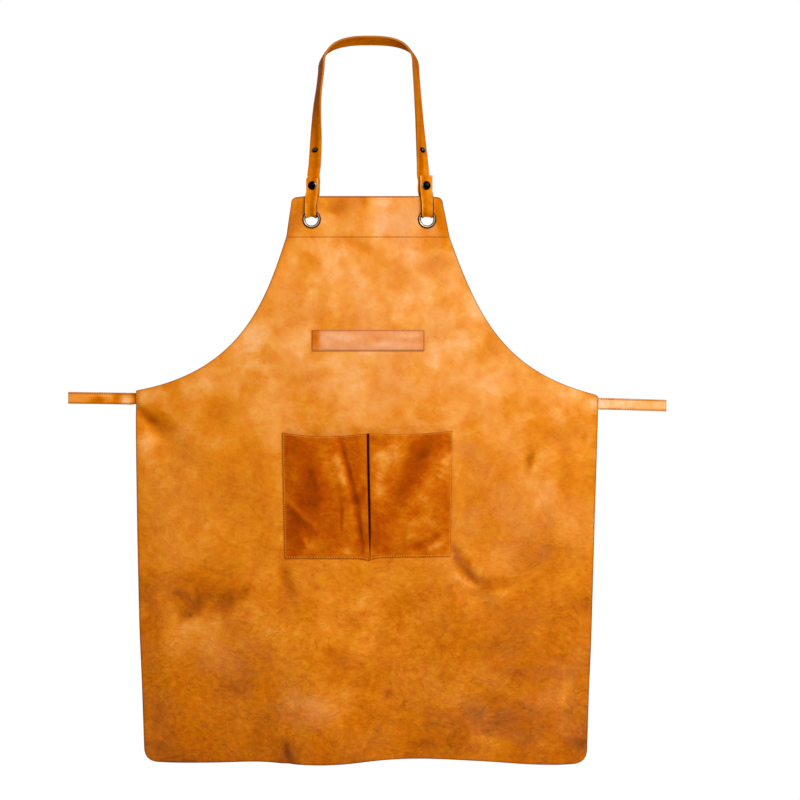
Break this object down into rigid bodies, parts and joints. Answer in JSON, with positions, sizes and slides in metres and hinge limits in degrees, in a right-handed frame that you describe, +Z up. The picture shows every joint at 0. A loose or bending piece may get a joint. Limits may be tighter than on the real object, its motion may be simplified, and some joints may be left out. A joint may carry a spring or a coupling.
{
  "type": "leather apron",
  "caption": "Bib apron of thick tan leather with a snapped neck strap through metal eyelets, waist ties, a bare bib patch and a pleated front pocket.",
  "frame": {"origin": "middle of the neck strap's inner face at the top of its arch, where it rests on the back of the neck", "axes": "+Z up, +Y towards the wearer, +X to the right of someone who looks at the front"},
  "size_m": [0.8475, 0.1576, 1.0395],
  "materials": {
    "body_leather": "waxed pull-up, mottled tan",
    "pocket_leather": "waxed pull-up, darker tan",
    "strap_leather": "waxed pull-up, cut edges",
    "patch_leather": "smooth, slightly glossy",
    "eyelet_metal": "antique, worn bright on the ridge",
    "snap_metal": "blackened antique"
  },
  "bodies": {
    "root": {"apron_body": "body_leather", "pocket": "pocket_leather", "bib_patch": "patch_leather", "tie_left": "strap_leather", "tie_right": "strap_leather", "neck_strap": "strap_leather", "eyelet_left": "eyelet_metal", "eyelet_right": "eyelet_metal", "snap_left": "snap_metal", "snap_right": "snap_metal", "stud_left": "snap_metal", "stud_right": "snap_metal"}
  },
  "joints": []
}
